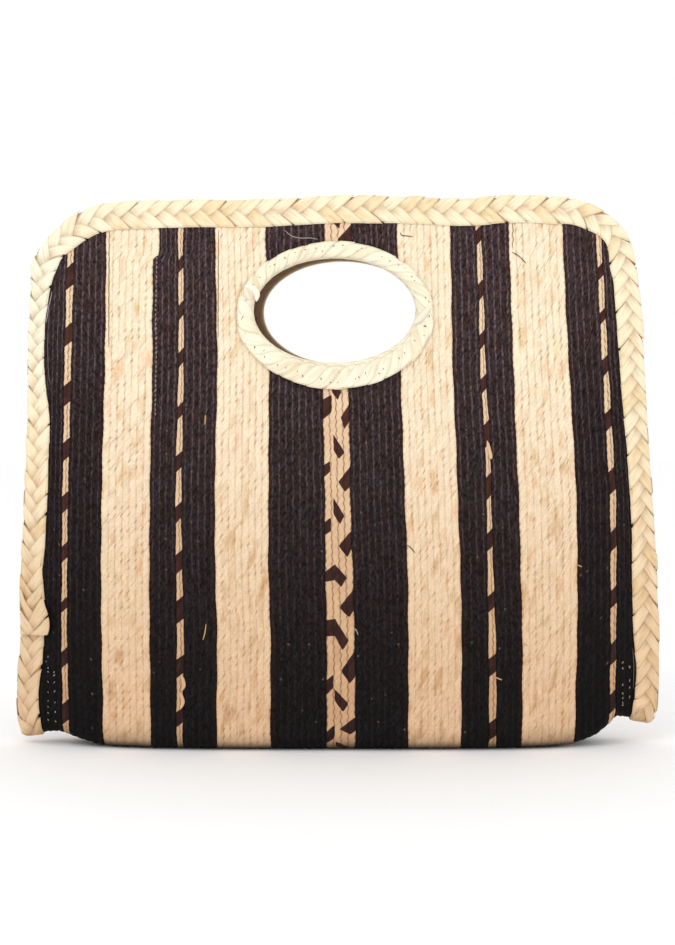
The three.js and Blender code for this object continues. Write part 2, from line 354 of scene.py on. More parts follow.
def plaitParts():
    u, v = axes(Wire.node("UVMap", {"uv_map": "plait"}))[:2]
    row = u.floor()
    q = u.fract()
    phase = v + (row * plait.golden).fract() - plait.lean * (q - 0.5)
    border = (u + 0.5).floor()
    offBorder = (u + 0.5).fract() - 0.5
    tickPhase = v + (border * plait.second).fract() - plait.tickLean * offBorder
    tickLuck = chance(border, tickPhase.floor(), 9.0)
    tick = 1.0 - (tickPhase.fract() - 0.5).size().span(0.05, 0.17)
    tick = tick * (1.0 - offBorder.size().span(0.18, 0.4)) * tickLuck
    rowGap = (0.5 - offBorder.size()).span(0.3, 0.5)
    strandGap = ((phase.fract() - 0.5).size() * 2).span(0.7, 1.0)
    fibre = noise(vector(phase * 1.3 + row * 7.1, q * 16.0 - phase * 1.5, row), 1.0, 3.0, 0.6)
    mottle = noise(vector(u * 4.2, v * 4.7), 0.8, 3.0, 0.65)
    return Settings(
        u=u, v=v, row=row, q=q, strand=phase.floor(), border=border, offBorder=offBorder,
        tick=tick, tickPhase=tickPhase, tickLuck=tickLuck,
        rowGap=rowGap, strandGap=strandGap, fibre=fibre, mottle=mottle)


def heightShare():  # 0 at the base, 1 at the rim
    return axes(position())[2] / plait.rimHeight


def plaitBump(p, strength):
    level = 1.0 - p.rowGap * 0.6 - p.strandGap * (1.0 - p.rowGap) * 0.5
    level = level + p.fibre * 0.4 - p.tick * 0.5
    return Wire.node("Bump", Strength=strength, Distance=0.0006, Height=level)


def groundShade():  # painted shade where the straw turns under the bag
    x, y, z = axes(position())
    low = z.span(0.0, 0.007, 0.6, 0.0) + z.span(0.0, 0.016, 0.32, 0.0)
    # more painted shade low on the outer bands
    low = low + z.span(0.006, 0.024, 0.12, 0.0) * x.size().span(0.09, 0.125)
    return 1.0 - low * y.size().span(0.008, 0.02, 0.45, 1.0)


def paleLook():
    p = plaitParts()
    run = (p.v - plait.lean * (p.q - 0.5)) / plait.run  # long strands, slanted ends
    run = run + (p.row * plait.second).fract() * 5.0
    pick = chance(p.row, run.floor(), 3.0)
    end = 1.0 - (0.5 - (run.fract() - 0.5).size()).span(0.008, 0.05)
    end = end * chance(p.row, (run + 0.5).floor(), 5.0).span(0.3, 0.9)
    patch = noise(vector(p.u * 0.4, p.v * 0.17 - p.u * 0.12, 1.0), 1.7, 3.0, 0.6)
    at = patch * 1.35 + pick * 0.24 - 0.29
    # painted light and shade: the straw is lighter high up and darker and tanner low down
    litTop = ramp(at, (0.12, 228, 192, 146), (0.28, 242, 217, 180), (0.48, 249, 235, 207),
                 (0.64, 247, 227, 195), (0.76, 242, 209, 174), (0.92, 233, 193, 145))
    shadedLow = ramp(at, (0.12, 186, 142, 101), (0.3, 210, 170, 130), (0.48, 226, 191, 155),
                (0.64, 222, 184, 146), (0.85, 200, 156, 112))
    colour = heightShare().span(0.0, 0.8).tint(shadedLow, litTop)
    streak = noise(vector(p.u * 5.0, p.v * 0.5, 8.0), 1.0, 3.0, 0.6)
    line = noise(vector(p.border * 3.1, p.v * 0.35, 6.0), 1.2).span(0.25, 0.65)
    line = (1.0 - p.offBorder.size().span(0.02, 0.16)) * line
    colour = colour.stain(line * 0.42, 190, 140, 96)
    twist = chance(p.row, p.strand, 4.0)
    # the strandGap darkening is painted shade between strands; twist, mottle and streak are the straw's own
    # tone
    shade = 0.99 - p.strandGap * 0.07 + (twist - 0.5) * 0.07
    shade = shade + (p.mottle - 0.5) * 0.46 + (streak - 0.5) * 0.3
    colour = colour.dim(shade * groundShade())
    hole = 1.0 - (p.tickPhase.fract() - 0.5).size().span(0.05, 0.24)
    hole = hole * (1.0 - p.offBorder.size().span(0.08, 0.3)) * p.tickLuck.span(0.3, 0.85)
    hole = hole * noise(vector(p.u * 0.6, p.v * 0.22, 2.0), 1.0).span(0.28, 0.52)
    colour = colour.stain(hole * 0.58, 152, 106, 70)
    colour = colour.stain(end * 0.38, 164, 114, 74)
    return colour, 0.62 + p.fibre * 0.2, 0.2, plaitBump(p, 0.3)


def blackLook():
    p = plaitParts()
    high = heightShare()
    hue = noise(vector(p.u * 1.1, p.v * 0.5, 4.0), 0.9)
    fleck = noise(vector(p.u * 4.6, p.v * 2.6, 7.0), 0.8, 3.0, 0.6)
    # painted shade: the top and foot ramps make the black straw darker towards the foot
    top = ramp(hue, (0.3, 63, 43, 40), (0.45, 62, 46, 44), (0.6, 62, 48, 50), (0.72, 65, 52, 56))
    foot = ramp(hue, (0.3, 18, 14, 12), (0.5, 17, 15, 15), (0.7, 20, 19, 21))
    colour = high.span(-0.05, 1.0).tint(foot, top)
    # painted highlights: light lines along each row's crest and small glints, faded towards the foot by
    # lift
    line = 1.0 - ((p.q - 0.5 + (p.v * 2.3).wave() * 0.025).size() * 5.2).span(0.1, 1.0)
    line = line * noise(vector(p.row * 3.0, p.v * 0.3, 2.0), 1.2).span(0.22, 0.55)
    lift = high.span(0.12, 0.9, 0.05, 1.0)
    colour = colour.stain(line * lift * 0.5, 124, 106, 113)
    glint = (p.tick - 0.5).span(0.0, 0.4) * 0.8 + fleck.span(0.66, 0.84)
    colour = colour.stain(glint * lift * 0.4, 124, 102, 94)
    shade = 0.2 + fleck.span(0.24, 0.72) * 1.3
    # painted shade in the gaps between rows and strands
    shade = shade - p.rowGap * 0.15 - p.strandGap * (1.0 - p.rowGap) * 0.22
    rim = 1.0 - attribute("mark").span(0.5, 2.6)  # browner beside pale straw
    # the brown is darker low down: painted shade
    brown = high.tint(shadeOf(40, 19, 14), shadeOf(70, 42, 36))
    colour = (rim * p.mottle.span(0.3, 0.6) * 0.8).tint(colour, brown)
    # painted shade: the outer bands darker, least near the top
    side = 1.0 - axes(position())[0].size().span(0.1, 0.165) * high.span(0.55, 0.9, 0.34, 0.02)
    colour = colour.dim(shade * side)
    cell = p.v * 2.0
    spot = chance(p.row, cell.floor(), 12.0).span(0.98, 0.998)  # few small bare bits of straw
    spot = spot * (1.0 - (p.q - 0.5).size().span(0.05, 0.22))
    spot = spot * (1.0 - (cell.fract() - 0.5).size().span(0.12, 0.36))
    colour = colour.stain(spot * 0.5, 132, 104, 82)
    return colour, 0.66 + p.fibre * 0.2, 0.1, plaitBump(p, 0.6)


def dashedLook():
    p = plaitParts()
    pick = chance(p.row, p.strand, 6.0)
    patch = noise(vector(p.row * 0.5, p.v * 0.2, 2.0), 1.5)
    high = heightShare().span(0.0, 0.85)
    # painted shade: the pale straw darker low down
    pale = high.tint(ramp(patch, (0.3, 212, 172, 130), (0.7, 196, 152, 116)),
                     ramp(patch, (0.3, 240, 214, 176), (0.7, 236, 200, 166)))
    wavy = (p.offBorder + (p.v * 5.6).wave() * 0.07).size()
    thread = (1.0 - wavy.span(0.05, 0.16)) * (0.35 + p.mottle.span(0.35, 0.6) * 0.65)
    pale = pale.stain(thread * 0.8, 112, 76, 52)
    # the strandGap darkening is painted shade between strands
    shade = (1.0 - p.strandGap * 0.1 + (p.mottle - 0.5) * 0.3) * groundShade()
    pale = pale.dim(shade)
    # painted shade: the brown darker low down, and darker in the gaps between rows
    brown = high.tint(ramp(pick, (0.0, 36, 20, 18), (1.0, 58, 32, 27)),
                      ramp(pick, (0.0, 58, 34, 30), (1.0, 84, 46, 38)))
    brown = brown.dim(1.0 - p.rowGap * 0.3 + (p.mottle - 0.5) * 0.5)
    colour = attribute("mark").span(-0.15, 0.15).tint(pale, brown)
    return colour, 0.6 + p.fibre * 0.2, 0.15, plaitBump(p, 0.5)


def braidLook(top, foot, lines):
    u, v = axes(Wire.node("UVMap", {"uv_map": "leaf"}))[:2]  # along a strand and across it
    x = axes(position())[0]
    high = heightShare()
    pick = attribute("strand")
    grain = noise(vector(u * 0.9 + pick * 57.0, v * 7.0, pick * 13.0), 1.0, 3.0, 0.6)
    cloud = noise(vector(u * 0.7 + pick * 31.0, v * 0.9, 5.0), 1.2)
    at = pick * 0.55 + cloud * 0.5
    # painted shade: the straw darker towards the foot
    colour = high.span(0.0, 0.75).tint(ramp(at, *foot), ramp(at, *top))
    left = x.span(-0.185, -0.12, 1.0, 0.0) * high.span(0.45, 0.8)
    colour = colour.stain(left * 0.62, 255, 250, 228)  # painted light, high on the left
    # painted shade where each strand dips under the next
    colour = colour.stain(attribute("tuck") * (0.3 + cloud) * 0.48 * lines, 176, 128, 84)
    # painted shade along each strand's long edges, where strands meet
    side = ((v - 0.5).size() * 2).span(0.84, 1.0)
    colour = colour.stain(side * 0.18 * lines, 172, 130, 88)
    colour = colour.dim(1.0 - (grain - 0.45).span(0.0, 0.3) * 0.19)
    # painted shade low down on the left braid
    lowLeftShade = x.span(-0.19, -0.15, 0.07, 0.0) * high.span(0.15, 0.5, 1.0, 0.0)
    colour = colour.dim(1.0 - lowLeftShade)
    colour = colour.stain(pick.span(-1.0, -0.5, 1.0, 0.0), 118, 86, 56)  # shaded backing
    bump = Wire.node("Bump", Strength=0.3, Distance=0.0005, Height=grain * 0.5 + cloud * 0.3)
    return colour, 0.52 + grain * 0.22, 0.25, bump


def plainLook(screen, rough):
    cloud = noise(position(), 40.0).span(0.2, 0.8)
    colour = shadeOf(*screen)
    dark = [c * 0.8 for c in colour[:3]]
    return cloud.tint((*dark, 1), colour), rough, 0.2


# Straw tones of the braids: place on a ramp and screen colour; the darker foot tones are painted shade low
# on the bag
braidTop = [(0.12, 227, 184, 130), (0.28, 246, 221, 175), (0.48, 252, 238, 203),
            (0.66, 253, 240, 207), (0.8, 248, 221, 179), (0.95, 237, 195, 149)]
ringTop = [(0.15, 238, 219, 182), (0.4, 250, 240, 212), (0.65, 252, 245, 220), (0.9, 242, 225, 190)]
braidFootShaded = [(0.15, 206, 165, 118), (0.4, 228, 193, 151), (0.7, 234, 201, 162), (0.9, 214, 173, 128)]
paleStraw = makeMaterial("pale_straw", paleLook)
blackStraw = makeMaterial("black_straw", blackLook)
dashedStraw = makeMaterial("dashed_straw", dashedLook)
braidStraw = makeMaterial("braid_straw", braidLook, braidTop, braidFootShaded, 1.0)
ringStraw = makeMaterial("ring_straw", braidLook, ringTop, braidFootShaded, 0.45)
threadFinish = makeMaterial("stitch_thread", plainLook, (142, 122, 98), 0.7)
print("materials wired")

# Bands from left to right: right edge at half height, how its nodes are parted, and how far that edge
# wanders sideways at each of these heights
edgeHeights = [30, 70, 110, 150, 190, 230, 270, 310]
bands = [
    ("black_band_1", -170.4, "base", [0.7, 0, 0.4, 0.6, 1.1, 0.6, 0.7, 0.8]),
    ("dashed_row_1", -165.8, "whole", [0.2, -0.8, -0.7, -0.2, 0.5, 0.5, 0.5, 0.7]),
    ("black_band_2", -145.7, "base", [2.0, 1.1, 0.8, 1.1, 1.6, 1.9, 1.6, 1.2]),
    ("pale_band_1", -115.2, "folds", [1.3, 0.7, 0.5, 0.7, 1.0, 1.5, 0.9, 1.2]),
    ("black_band_3", -99.9, "folds", [2.0, 2.1, 1.6, 1.2, 1.7, 2.4, 2.1, 1.3]),
    ("dashed_row_2", -95.7, "folds", [1.5, 2.3, 1.2, 0.5, 1.0, 1.4, 1.0, 0.2]),
    ("black_band_4", -75.2, "folds", [1.8, 2.0, 0.8, 0.5, 0.9, 1.8, 1.1, 0.1]),
    ("pale_band_2", -42.3, "folds", [1.6, 1.6, 0.3, 0.3, 0.4, 0.9, 0.3, -0.7]),
    ("black_band_5", -8.4, "hole", [1.8, 1.8, 1.0, 0.6, 0, -0.2, 0.8, 2.4]),
    ("zigzag_band", 8.4, "hole", [2.4, 1.9, 0.9, -0.6, -0.8, -1.0, 0.4, 2.8]),
    ("black_band_6", 41.6, "hole", [1.4, 1.4, 1.0, -0.7, -1.6, -1.8, -1.4, -1.2]),
    ("pale_band_3", 74.2, "folds", [1.1, 1.3, 0.6, -1.0, -1.8, -2.0, -1.0, -0.2]),
    ("black_band_7", 91.2, "folds", [1.0, 0.7, 0.1, -0.6, -1.2, -1.9, -0.9, -0.8]),
    ("dashed_row_3", 95.4, "folds", [1.2, 0.8, -0.6, -1.8, -2.3, -2.8, -2.0, -1.6]),
    ("black_band_8", 111, "folds", [1.5, 1.6, 0.6, -0.5, -1.7, -1.1, -0.4, 0.2]),
    ("pale_band_4", 146.3, "folds", [-0.6, 0.6, 0.7, 0, -1.2, -1.3, -1.0, -0.5]),
    ("black_band_9", 167.4, "base", [0.4, 0.9, 0.9, 0.3, -1.2, -1.0, -0.5, 0]),
    ("dashed_row_4", 171.8, "whole", [-0.3, 0.3, 0.3, -0.2, -1.6, -1.6, -1.2, -1.0]),
    ("black_band_10", 199, "base", None),
]
edgeStep = {"pale_band_1": (301.5, 3.2)}  # this edge jumps sideways at one height
edge = Settings(scallop=0.13, drift=0.22, driftRate=0.9, driftShift=2.1, jumpHalf=1.5, gap=0.06)
lengths = dict(whole=[""], base=["_front", "_back"], folds=["_front", "_base", "_back"],
               hole=["_front", "_front_top", "_base", "_back", "_back_top"])
strawOf = dict(black=blackStraw, pale=paleStraw, dashed=dashedStraw, zigzag=dashedStraw)

# Brown marks as charted: foot and head of each mark up the front wall
dashes = {
    "dashed_row_1": [(15, 28), (50, 60), (84, 91), (115, 125), (145, 156), (177, 189), (211, 224),
                     (248, 260), (283, 297)],
    "dashed_row_2": [(16, 25.5), (46, 57.5), (79, 93), (109, 121), (140, 150), (171, 181), (203, 211),
                     (235, 244), (264, 273), (293, 301)],
    "dashed_row_3": [(8, 19), (47, 58), (86, 96), (123, 134), (154, 168), (186, 200), (219, 228),
                     (246, 255), (276, 286), (310, 319)],
    "dashed_row_4": [(22, 34), (52, 65), (87, 98), (122, 134), (157, 171), (196, 207), (230, 240),
                     (262, 269), (289, 297)],
}
dashCut = 0.8  # rise of a mark's slanted end across the row
# Marks of the middle band: foot, then how they sit on the left edge, the middle and the right edge
leftMarks = [(3.6, 7.9, -3.6, 4.9, 13.4), (34, 9.1, -4.4, 4.9, 13.4), (70, 9.8, -2.4, 0.6, 11),
             (103, 6, -2.4, 1.2, 11), (131, 7.9, -4.4, 3, 11.5), (166.2, 7.4, -4.4, 3.7, 10.4),
             (200.9, 12.9, -2.6, 5.5, 16)]
midMarks = [(-3, -3, 4, 9, 5.4, 3), (24.4, -3.6, 6.7, 14, 4.7, 4.9), (61.6, -3.4, 8.8, 19, 5.1, 5.8),
            (100, -2.8, 4.3, 14, 4.7, 5.8), (138, -3, 6.4, 16.4, 4.2, 5.2),
            (177.7, -2.2, 4.9, 15.3, 4.9, 4.3), (213.6, -2.6, 5, 15, 4, 5), (318.5, -5.5, 6, 16, 2, 6)]
rightMarks = [(10.6, -1.1, 3.3, 2.7, 11.2), (41.4, 0, 7.9, 5.5, 20.6), (81.6, -0.6, 6.1, 4.9, 17.4),
              (118, 0, 7, 6.1, 17), (157.7, 0.6, 5.8, 3.7, 16.5), (195.4, 3, 7.7, 6.1, 16.8),
              (305, -0.5, 7, 4, 16.5)]
markEdge = 9  # outer marks run out past the band's edges
midFoot, rightFoot = 1.2, 5.2  # where the other marks have their lowest corner
zigzag = [[(-markEdge, f), (r, f + low), (r, f + high), (-markEdge, f + top)]
          for f, top, r, low, high in leftMarks]
zigzag += [[(a, f + low), (midFoot, f), (b, f + rise), (a, f + high)]
           for f, a, low, high, b, rise in midMarks]
zigzag += [[(markEdge, f + high), (r, f + rise), (rightFoot, f), (markEdge, f + low)]
           for f, r, rise, low, high in rightMarks]
farOff = 50.0  # distance that stands for no mark near
backChart = 17  # marks sit this much higher on the back


def dashMarks(name, x, height):
    feet = height - dashCut * x
    return np.max([np.minimum(feet - low, high - feet) for low, high in dashes[name]], axis=0)


def zigzagMarks(x, height):
    best = np.full(len(x), -farOff)
    for outline in zigzag:
        corners = np.array(outline, float)
        ahead = np.roll(corners, -1, 0)
        sign = np.sign(np.sum(corners[:, 0] * ahead[:, 1] - ahead[:, 0] * corners[:, 1]))
        inside = np.full(len(x), farOff)
        for (cx, cz), (dx, dz) in zip(corners, ahead - corners):
            inside = np.minimum(inside, sign * (dx * (height - cz) - dz * (x - cx)) / math.hypot(dx, dz))
        best = np.maximum(best, inside)
    return best


def clothPoint(row, top, share, inset, lead):
    # share runs from 0 at the middle of the base to 1 at the rim; lead gives the rows of the side bands
    flat, radius, floor = foldShape(row, 0)
    turnEnd = flat + radius * math.pi / 2
    s = share * (turnEnd + top - floor - radius)
    height = floor + radius + s - turnEnd
    bed, bend, ground = foldShape(row, inset)  # the same fold on the chosen face
    turn = np.clip((s - flat) / (turnEnd - flat), 0, 1) * math.pi / 2
    y = -(bed * np.clip(s / flat, 0, 1) + bend * np.sin(turn))
    z = ground + bend * (1 - np.cos(turn))
    onWall = s > turnEnd
    foot = ground + bend
    wallHeight = foot + np.clip((s - turnEnd) / (top - floor - radius), 0, 1) * (top - foot)
    wallRow = lead(wallHeight) if lead else row
    wallY = inset - halfDepth(wallRow, wallHeight)
    if inset > 0:  # front and back touch along the side seams
        wallY = wallY * ease(0.15, 0.6, -wallY)
    x = np.where(onWall, rowToX(wallRow, wallHeight), row)
    return np.stack([x, np.where(onWall, wallY, y), np.where(onWall, wallHeight, z)], -1), s, height


def inHole(x, z, shift):
    across = (x - opening.x - shift) / (opening.wide + holeHem)
    up = (z - opening.z) / (opening.high + holeHem)
    return across ** 2 + up ** 2 < 1


def edgeMove(k, height, s):  # sideways wander and scallops of a band's edge
    if k < 0 or bands[k][3] is None:
        return np.zeros(len(s))
    v = s / plait.pitch
    at, jump = edgeStep.get(bands[k][0], (0, 0))
    return (smooth(height, edgeHeights, bands[k][3])
            + jump * ease(at - edge.jumpHalf, at + edge.jumpHalf, height)
            + edge.scallop * np.sin(2 * math.pi * v + k)
            + edge.drift * np.sin(edge.driftRate * v + edge.driftShift * k))


class Band:  # one stripe of plaited rows, front rim to back rim
    def __init__(self, k, left, firstRow):
        self.k = k
        self.name, right, self.parted, moves = bands[k]
        self.kind = self.name.split("_")[0]
        self.rows = max(1, round((right - left) / plait.rowsPer))
        self.low, self.high = left + edge.gap, right - edge.gap
        self.side = -1 if k == 0 else 1 if moves is None else 0
        self.firstRow = firstRow

    def rowAt(self, q, z):
        low, high = self.low, self.high
        if self.side:
            end = xToRow(sideEdge(z, self.side), z)
            low, high = (end, high) if self.side < 0 else (low, end)
        return low + (high - low) * q

    def place(self, flat):
        q = (flat[:, 0] + 1) / 2
        share = np.abs(flat[:, 1])
        inner = isUnder(flat)
        row = self.rowAt(q, np.full(len(q), cloth.wallFoot))
        if self.side:
            top = np.full(len(q), cloth.leftEnd if self.side < 0 else cloth.rightEnd)
        else:
            top = clothTop(rowToX(row, cloth.rowEnd))
        points, s, height = np.zeros((len(q), 3)), np.zeros(len(q)), np.zeros(len(q))
        for face, inset in ((~inner, 0.0), (inner, cloth.thick)):
            lead = (lambda z, part=q[face]: self.rowAt(part, z)) if self.side else None
            points[face], s[face], height[face] = clothPoint(row[face], top[face], share[face], inset, lead)
        points[:, 0] += (1 - q) * edgeMove(self.k - 1, height, s) + q * edgeMove(self.k, height, s)
        if self.side:  # the feet are rounded off
            radius, floor = foldShape(row, 0)[1:]
            down = np.clip((cloth.wallFoot - height) / (cloth.wallFoot - floor - radius), 0, 1)
            points[:, 0] -= self.side * cloth.footIn * down ** 3 * (q if self.side > 0 else 1 - q)
        return points, s, height

    def shape(self, flat):
        back = np.where(flat[:, 1] > 0, 1, -1)
        points, s, height = self.place(flat)
        # outward normal from points nearby on the same face
        step = np.array([0.004, 0, 0])
        across = self.place(flat + step)[0] - self.place(flat - step)[0]
        share = np.abs(flat[:, 1])
        ahead, behind = flat.copy(), flat.copy()
        ahead[:, 1] = -np.clip(share + 0.002, 0, 1)
        behind[:, 1] = -np.clip(share - 0.002, 0, 1)
        normal = unit(np.cross(across, self.place(ahead)[0] - self.place(behind)[0]))
        points[:, 1] *= -back
        normal[:, 1] *= -back
        q = (flat[:, 0] + 1) / 2
        inner = isUnder(flat)
        u = self.firstRow + np.clip(q, 0, 1) * self.rows
        v = s / plait.pitch
        self.uv = {-1: np.stack([u, v], 1), 1: np.stack([plait.mirror - u, v], 1)}
        chosen = np.where((back > 0)[:, None], self.uv[1], self.uv[-1])
        rowOf = np.floor(chosen[:, 0] + 1e-6)
        part = chosen[:, 0] - rowOf
        phase = chosen[:, 1] + np.modf(rowOf * plait.golden)[0] - plait.lean * (part - 0.5)
        ridge = np.sqrt(np.clip(1 - (2 * part - 1) ** 2, 0, 1))
        strand = plait.strand * (plait.paleStrand if self.kind == "pale" else 1)
        swell = np.sqrt(np.abs(np.sin(np.pi * phase))) - 0.7
        relief = plait.ridge * (ridge - 0.75) + strand * ridge * swell
        relief = relief - plait.pressed * np.clip(1 - (height + 2) / 10, 0, 1)  # flatter underneath
        inside = -plait.inside * relief * ease(0.2, 1.2, np.abs(points[:, 1]))  # level in the seams
        self.across, self.height, self.back = (q - 0.5) * (self.high - self.low), height, back
        return points + normal * np.where(inner, inside, relief)[:, None]

    def build(self):
        fine = 2 if self.kind in ("dashed", "zigzag") else 1
        bm = bmesh.new()
        addGrid(bm, self.rows * plait.columns * fine, 2 * round(plait.wallLength / plait.step))
        if self.parted == "hole" or self.name in ("pale_band_2", "pale_band_3"):
            corners = np.array([v.co for v in bm.verts])
            points = self.place(corners)[0]
            gone = inHole(points[:, 0], points[:, 2], np.where(corners[:, 1] > 0, backShift, 0))
            dead = [f for f in bm.faces if sum(gone[v.index] for v in f.verts) > 2]
            bmesh.ops.delete(bm, geom=dead, context="FACES")
        thicken(bm, bm.faces[:])
        obj = addObject(bm, self.name + "_plait", strawOf[self.kind], self.shape)
        corner = cornersOf(obj)
        count = readAll(obj.data.polygons, "loop_total", np.int32)
        owner = np.repeat(np.arange(len(count)), count)
        onBack = (np.bincount(owner, self.back[corner] > 0) > 0)[owner]
        uv = np.where(onBack[:, None], self.uv[1][corner], self.uv[-1][corner])
        if self.kind == "dashed":  # the row's seam runs right of its middle
            uv[:, 0] += np.where(onBack, -1, 1) * plait.seamShift
        addUv(obj, "plait", uv)
        if fine > 1:
            x = self.across * -self.back
            height = self.height - np.where(self.back > 0, backChart, 0)
            dashed = self.kind == "dashed"
            addValue(obj, "mark", dashMarks(self.name, x, height) if dashed else zigzagMarks(x, height))
        elif self.kind == "black":  # distance from the nearest pale band
            half = (self.high - self.low) / 2
            beside = [np.full(len(self.across), farOff)]
            if self.k > 0 and bands[self.k - 1][0].startswith("pale"):
                beside.append(self.across + half)
            if self.side < 1 and bands[self.k + 1][0].startswith("pale"):
                beside.append(half - self.across)
            addValue(obj, "mark", np.min(beside, axis=0))
        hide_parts(*[self.name + end for end in lengths[self.parted]])


rowCount = 0
left = -199  # row where the first band begins
for k in range(len(bands)):
    band = Band(k, left, rowCount)
    band.build()
    rowCount += band.rows
    left = bands[k][1]
print("bands woven,", rowCount, "rows")

# Flat braid: two columns of slanted strands over a thin backing
braid = Settings(
    pitch=11.0, lean=1.1, height=1.55, rise=0.3, crown=0.12, uneven=0.2, drop=1.2, wrap=2.2,
    curl=0.13, leaf=0.4, edge=2.0, notch=0.07, stray=0.2, cover=0.54, fray=1.4, ragged=1.0,
    crease=0.15, tones=(0.08, 0.92), shadedFrom=2, topWide=16.8, topFrom=-128, topTo=127,
    overlapTop=80, frontFrom=96, raised=2.7, first=-10.0, spare=18, along=440, across=6)
overlapZ = [68, 73, 80, 88, 94]  # outer edge and width where the ends overlap
overlapX = [-196.9, -197.0, -197.1, -197.5, -197.7]
overlapWide = [17.6, 19.2, 18.8, 16.8, 15.9]
# Round the top corners, by the angle turned: how far the braid bulges, and its width
leftBulge = ([0, 10, 20, 32, 45, 90], [0, 1.6, 1.6, 0.6, -0.4, 0])
rightBulge = ([0, 5, 15, 26, 40, 60, 90], [0, -0.5, -0.3, 1, 1.4, 0.7, 0])
leftTurn = ([0, 10, 20, 30, 40, 60, 90], [12.2, 15, 16.2, 15.6, 16.8, 17.2, 16.8])
rightTurn = ([0, 17, 30, 37, 58, 75, 90], [15.8, 16.6, 15.2, 14.4, 15.6, 15.9, 16.8])


def frontLine():  # the braid's two edges, left foot to right foot
    outer, inner = [], []

    def add(x, z, inX, inZ, wide):
        outer.append((x, z))
        inner.append((x + inX * wide, z + inZ * wide))

    def addCorner(corner, turned, bulge, angle, wide):
        radius = corner.radius + smooth(turned, *bulge)
        along, up = math.cos(angle), math.sin(angle)
        add(corner.x + radius * along, corner.z + radius * up, -along, -up, smooth(turned, *wide))

    for z in np.linspace(cloth.wallFoot, cloth.cornerFrom, 58):
        add(smooth(z, sideZ, leftX), z, 1, 0, smooth(z, wideZ, leftWide))
    for turned in np.linspace(0, 90, 24):
        addCorner(leftCorner, turned, leftBulge, math.radians(180 - turned), leftTurn)
    for x in np.linspace(braid.topFrom, braid.topTo, 64):
        add(x, smooth(x, topX, topZ), 0, -1, braid.topWide)
    for turned in np.linspace(90, 0, 24):
        addCorner(rightCorner, turned, rightBulge, math.radians(turned), rightTurn)
    for z in np.linspace(cloth.cornerFrom, cloth.wallFoot, 58):
        add(smooth(z, sideZ, rightX), z, -1, 0, smooth(z, sideZ, rightWide))
    return np.array(outer), np.array(inner)


def braidSheet():  # points of the cloth under the braid
    shares = np.linspace(0, 1, 9)
    outer, inner = frontLine()
    stations = []

    def onWall(a, b, side):
        x = a[0] + (b[0] - a[0]) * shares
        z = a[1] + (b[1] - a[1]) * shares
        stations.append(np.stack([x, side * wallDepth(x, z), z], 1))

    def foot(a, b, down, turn):  # row across the rounded foot
        drawn = np.sign(-a[0]) * (cloth.footIn * down ** 3 + cloth.footUnder * (1 - math.cos(turn)))
        return a[0] + drawn + (b[0] - a[0] - 0.6 * drawn) * shares

    def stepDown(a, b, parts, side):
        for down in parts:
            x = foot(a, b, down, 0)
            radius, floor = foldShape(x, 0)[1:]
            z = cloth.wallFoot + down * (floor + radius - cloth.wallFoot)
            stations.append(np.stack([x, side * wallDepth(x, z), z], 1))

    def turnUnder(a, b, turns, side):
        for turn in turns:
            x = foot(a, b, 1, turn)
            flat, radius, floor = foldShape(x, 0)
            y = -flat - radius * math.cos(turn)
            stations.append(np.stack([x, -side * y, floor + radius - radius * math.sin(turn)], 1))

    def roundFoot(a, b, side):  # down one wall, under the corner, up the other
        quarter = np.linspace(0, math.pi / 2, 7)
        steps = np.linspace(0.2, 0.9, 7)
        stepDown(a, b, steps, side)
        turnUnder(a, b, quarter, side)
        turnUnder(a, b, quarter[::-1], -side)
        stepDown(a, b, steps[::-1], -side)

    for z in np.linspace(overlapZ[0], overlapZ[-1], 12):
        x = smooth(z, overlapZ, overlapX)
        onWall((x, z), (x + smooth(z, overlapZ, overlapWide), z), -1)
    for a, b in zip(outer, inner):
        if a[1] > braid.frontFrom or a[0] > 0:
            onWall(a, b, -1)
    roundFoot(outer[-1], inner[-1], -1)
    for a, b in zip(outer[::-1], inner[::-1]):
        onWall(a, b, 1)
    roundFoot(outer[0], inner[0], 1)
    for a, b in zip(outer, inner):
        if a[0] < 0 and a[1] <= braid.overlapTop:
            onWall(a, b, -1)
    return np.array(stations)


class Sheet:  # a surface with a length, a width and a normal
    def __init__(self, points):
        self.points = points
        self.sideways = np.gradient(points, axis=1)
        self.normals = unit(np.cross(self.sideways, np.gradient(points, axis=0)))
        middle = points[:, points.shape[1] // 2]
        gaps = np.linalg.norm(np.diff(middle, axis=0), axis=1)
        self.along = np.concatenate([[0], np.cumsum(gaps)])
        self.length = self.along[-1]
        self.width = np.linalg.norm(np.diff(points, axis=1), axis=2).sum(1)

    def wide(self, t):
        return np.interp(t, self.along, self.width)

    def at(self, t, share, off):
        i = np.interp(t, self.along, np.arange(len(self.along)))
        j = np.clip(share, 0, 1) * (self.points.shape[1] - 1)
        i0 = np.clip(np.floor(i).astype(int), 0, len(self.along) - 2)
        j0 = np.clip(np.floor(j).astype(int), 0, self.points.shape[1] - 2)
        fi, fj = (i - i0)[:, None], (j - j0)[:, None]

        def blend(grid):
            return ((grid[i0, j0] * (1 - fj) + grid[i0, j0 + 1] * fj) * (1 - fi)
                    + (grid[i0 + 1, j0] * (1 - fj) + grid[i0 + 1, j0 + 1] * fj) * fi)

        beyond = (share - np.clip(share, 0, 1))[:, None] * self.wide(t)[:, None]
        raised = unit(blend(self.normals)) * off[:, None]
        return blend(self.points) + unit(blend(self.sideways)) * beyond + raised


backingAt = -1000  # where a backing lies in the flat layout
grainLength = 6.0
shadeSpan = 0.16


def layStrands(bm, count):
    for k in range(count * 2):
        addGrid(bm, along=9, across=4, spot=spotOf(k))
    thicken(bm, bm.faces[:])


def layBacking(bm, along, across):
    made = addGrid(bm, along, across, Matrix.Translation((backingAt, 0, 0)))
    thicken(bm, list({f for v in made["verts"] for f in v.link_faces}))


